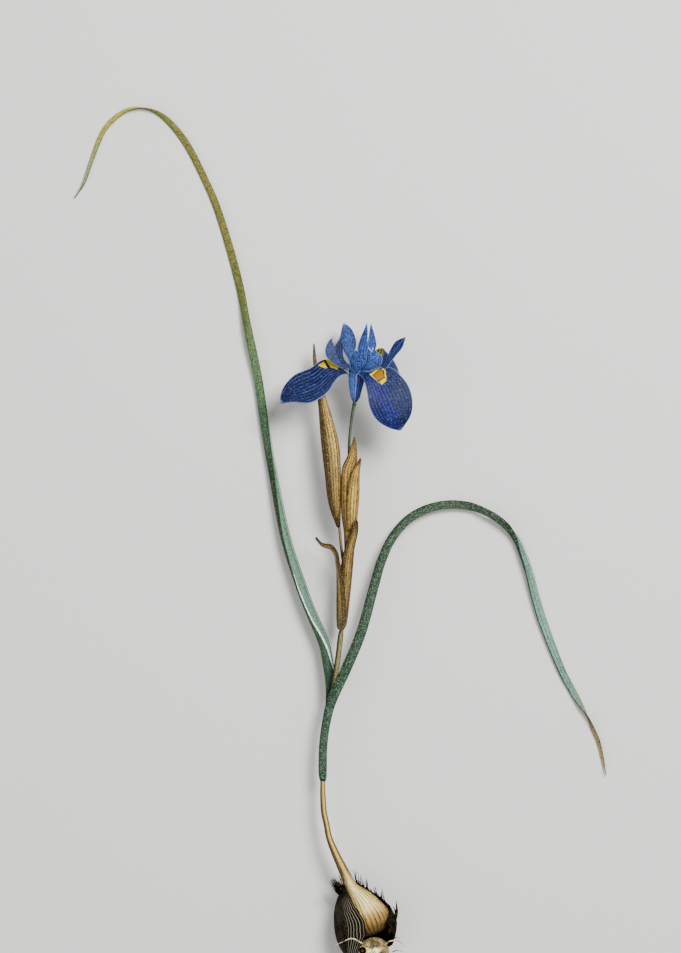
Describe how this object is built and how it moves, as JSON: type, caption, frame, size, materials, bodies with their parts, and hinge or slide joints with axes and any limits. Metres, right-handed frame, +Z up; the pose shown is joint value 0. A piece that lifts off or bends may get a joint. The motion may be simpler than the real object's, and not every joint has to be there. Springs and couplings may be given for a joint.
{
  "type": "barbary nut iris plant with one open flower",
  "caption": "Lifted barbary nut iris lying on its back: fibre-coated corm, long channelled leaves, papery spathes and one open blue flower.",
  "frame": {"origin": "middle of the small flat spot under the fibrous coat of the bulb, on the surface that the plant lies on", "axes": "+Z up from the surface that the plant lies on, +Y from the bulb up the stem to the flower, +X to the right side of the plant seen from above"},
  "size_m": [0.187, 0.3123, 0.0285],
  "materials": {
    "corm_skin": "satin cream skin with brown ribs",
    "tunic_fibre": "dry matt dark fibres",
    "old_corm_skin": "dull wrinkled tan skin",
    "leaf": "satin fleshy green with a pale bloom in the channel",
    "stem_skin": "satin pale green",
    "spathe": "dry papery, gold with brown veins",
    "petal": "soft velvety blue with pale veins",
    "style": "soft velvety blue",
    "stamen": "powdery pale yellow"
  },
  "bodies": {
    "root": {"corm": "corm_skin", "tunic": "tunic_fibre", "old_corm": "old_corm_skin", "leaf_left": "leaf", "leaf_right": "leaf", "stem": "stem_skin", "bract_lower": "spathe", "bract_middle": "spathe", "spathe_left": "spathe", "spathe_inner": "spathe", "spathe_outer": "spathe", "flower_stalk": "stem_skin", "fall_left": "petal", "fall_front": "petal", "fall_back": "petal", "standard_back": "petal", "standard_front": "petal", "standard_right": "petal", "styles": "style", "stamen_left": "stamen", "stamen_front": "stamen", "stamen_back": "stamen"}
  },
  "joints": []
}
